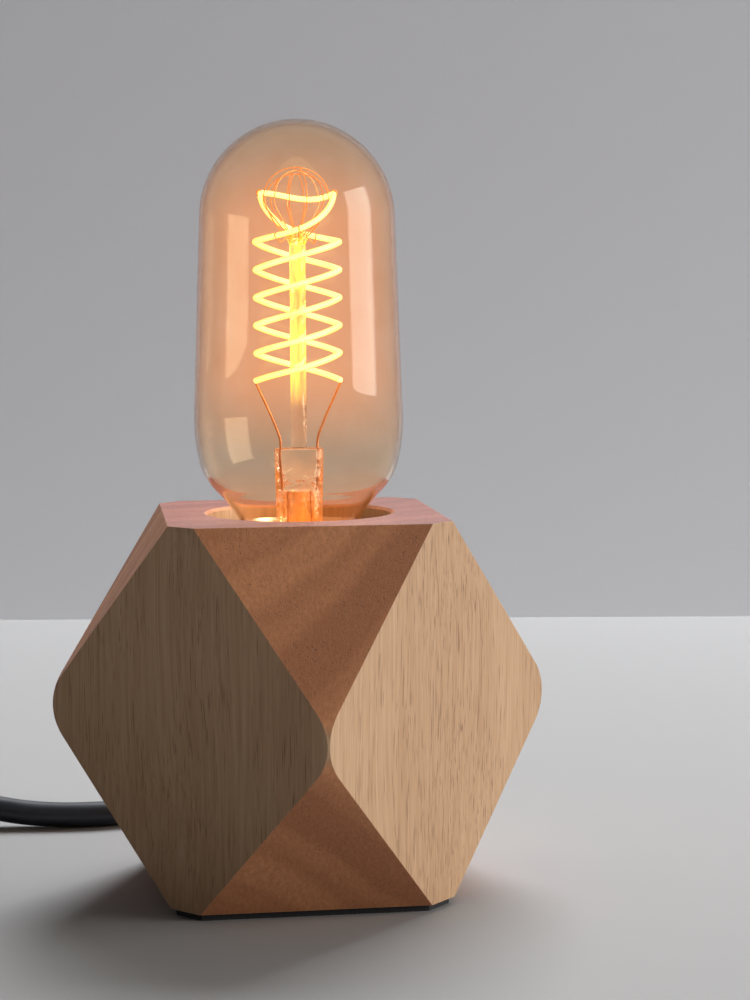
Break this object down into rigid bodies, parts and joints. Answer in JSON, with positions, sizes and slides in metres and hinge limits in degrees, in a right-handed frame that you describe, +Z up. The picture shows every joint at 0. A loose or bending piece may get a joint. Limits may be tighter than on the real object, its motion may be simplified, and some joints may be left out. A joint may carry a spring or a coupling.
{
  "type": "table lamp",
  "caption": "Bare bulb table lamp: a faceted wooden block with a lampholder sunk in its top, a tubular filament bulb and a black lead with an in-line switch and plug.",
  "frame": {"origin": "on the table under the middle of the wooden block", "axes": "+Z up; -Y is the front seen in the picture; the lead leaves the block at the middle of its back, towards +Y"},
  "size_m": [0.2498, 0.1321, 0.1658],
  "materials": {
    "beech": "sanded and oiled",
    "dark_pad": "matt foam",
    "zinc_steel": "zinc plated",
    "black_phenolic": "satin moulded",
    "white_ceramic": "matt fired",
    "brass": "bright",
    "lead_black": "satin",
    "wire_brown": "satin",
    "wire_blue": "satin",
    "tie_black": "satin",
    "amber_glass": "clear with a warm tint",
    "clear_glass": "clear",
    "cap_aluminium": "rolled",
    "vitrite": "glossy black",
    "cement": "matt",
    "glowing_filament": "lit",
    "nickel_wire": "drawn",
    "switch_black": "satin moulded"
  },
  "bodies": {
    "base": {"wood_block": "beech", "base_pad": "dark_pad", "nipple": "zinc_steel", "nipple_washer": "zinc_steel", "nipple_nut": "zinc_steel", "holder_cup": "black_phenolic", "holder_core": "white_ceramic", "thread_shell": "brass", "holder_skirt": "black_phenolic", "centre_contact": "brass", "side_contact": "brass", "terminal_screws": "zinc_steel", "live_wire": "wire_brown", "neutral_wire": "wire_blue", "lead_clamp": "zinc_steel", "clamp_screws": "zinc_steel", "lead_inlet": "lead_black", "lamp_lead": "lead_black", "switch_base": "switch_black", "switch_cover": "switch_black", "switch_leaf": "brass", "switch_contact": "brass", "switch_wires": "wire_brown", "switch_screws": "zinc_steel", "plug_lead": "lead_black", "lead_coil": "lead_black", "coil_tie": "tie_black", "plug_lead_tail": "lead_black", "plug_body": "switch_black", "plug_pins": "brass", "pin_sleeves": "switch_black"},
    "bulb": {"glass_envelope": "amber_glass", "glass_stem": "clear_glass", "exhaust_tube": "clear_glass", "support_rod": "clear_glass", "support_hooks": "nickel_wire", "filament": "glowing_filament", "lead_wires": "nickel_wire", "cap_shell": "cap_aluminium", "cap_insulator": "vitrite", "cap_contact": "zinc_steel", "cap_cement": "cement"},
    "rocker": {"rocker": "switch_black"}
  },
  "joints": [
    {"name": "bulb_lift", "type": "slide", "parent": "base", "child": "bulb", "axis": [0, 0, 1], "range_m": [0, 0.06]},
    {"name": "rocker_switch", "type": "hinge", "parent": "base", "child": "rocker", "pos_m": [-0.118, 0.0582, 0.0126], "axis": [0, -1, 0], "range_deg": [0, 16]}
  ]
}
